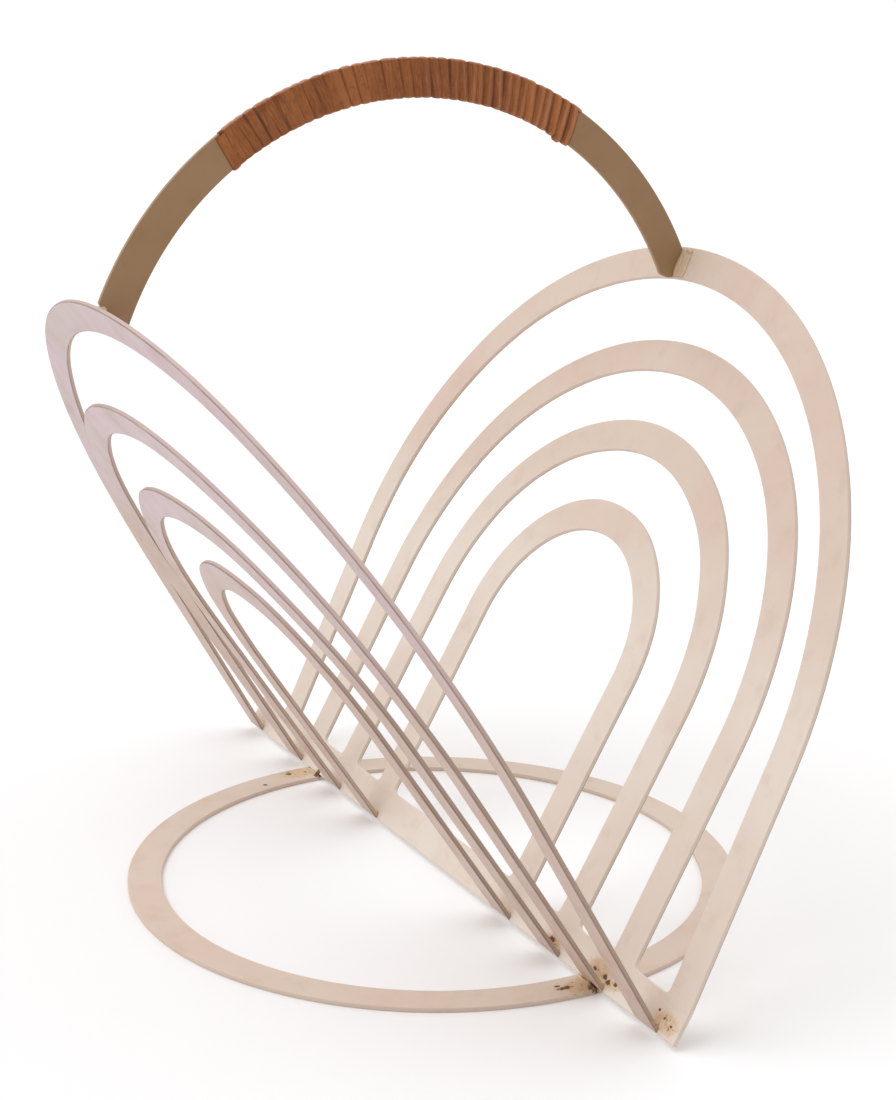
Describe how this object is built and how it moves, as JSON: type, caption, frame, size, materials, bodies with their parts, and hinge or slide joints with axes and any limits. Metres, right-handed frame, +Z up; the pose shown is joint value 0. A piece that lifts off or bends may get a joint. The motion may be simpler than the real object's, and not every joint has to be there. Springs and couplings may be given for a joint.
{
  "type": "magazine rack",
  "caption": "Free-standing magazine rack: two fans of nested flat-bar arches form a V on a floor ring, with an arched handle wrapped in leather over the top.",
  "frame": {"origin": "on the floor, under the middle of the rack's bounding box", "axes": "+Z up, +Y along the keel bar towards the rear, +X towards the fan that the keel bar lies in, which is the right fan seen from the front"},
  "size_m": [0.3584, 0.5, 0.4531],
  "materials": {
    "cream_paint": "satin cream enamel, aged and warm, with small rust spots",
    "handle_paint": "satin cream enamel darkened to khaki by handling",
    "leather": "flat leather lace, worn smooth on the front"
  },
  "bodies": {
    "root": {"base_ring": "cream_paint", "keel_bar": "cream_paint", "right_outer_arch": "cream_paint", "right_second_arch": "cream_paint", "right_third_arch": "cream_paint", "right_inner_arch": "cream_paint", "left_outer_arch": "cream_paint", "left_second_arch": "cream_paint", "left_third_arch": "cream_paint", "left_inner_arch": "cream_paint", "handle_bar": "handle_paint", "handle_grip": "leather", "ring_weld_front": "cream_paint", "ring_weld_rear": "cream_paint", "right_foot_welds": "cream_paint", "left_foot_welds": "cream_paint", "handle_weld_right": "handle_paint", "handle_weld_left": "handle_paint"}
  },
  "joints": []
}
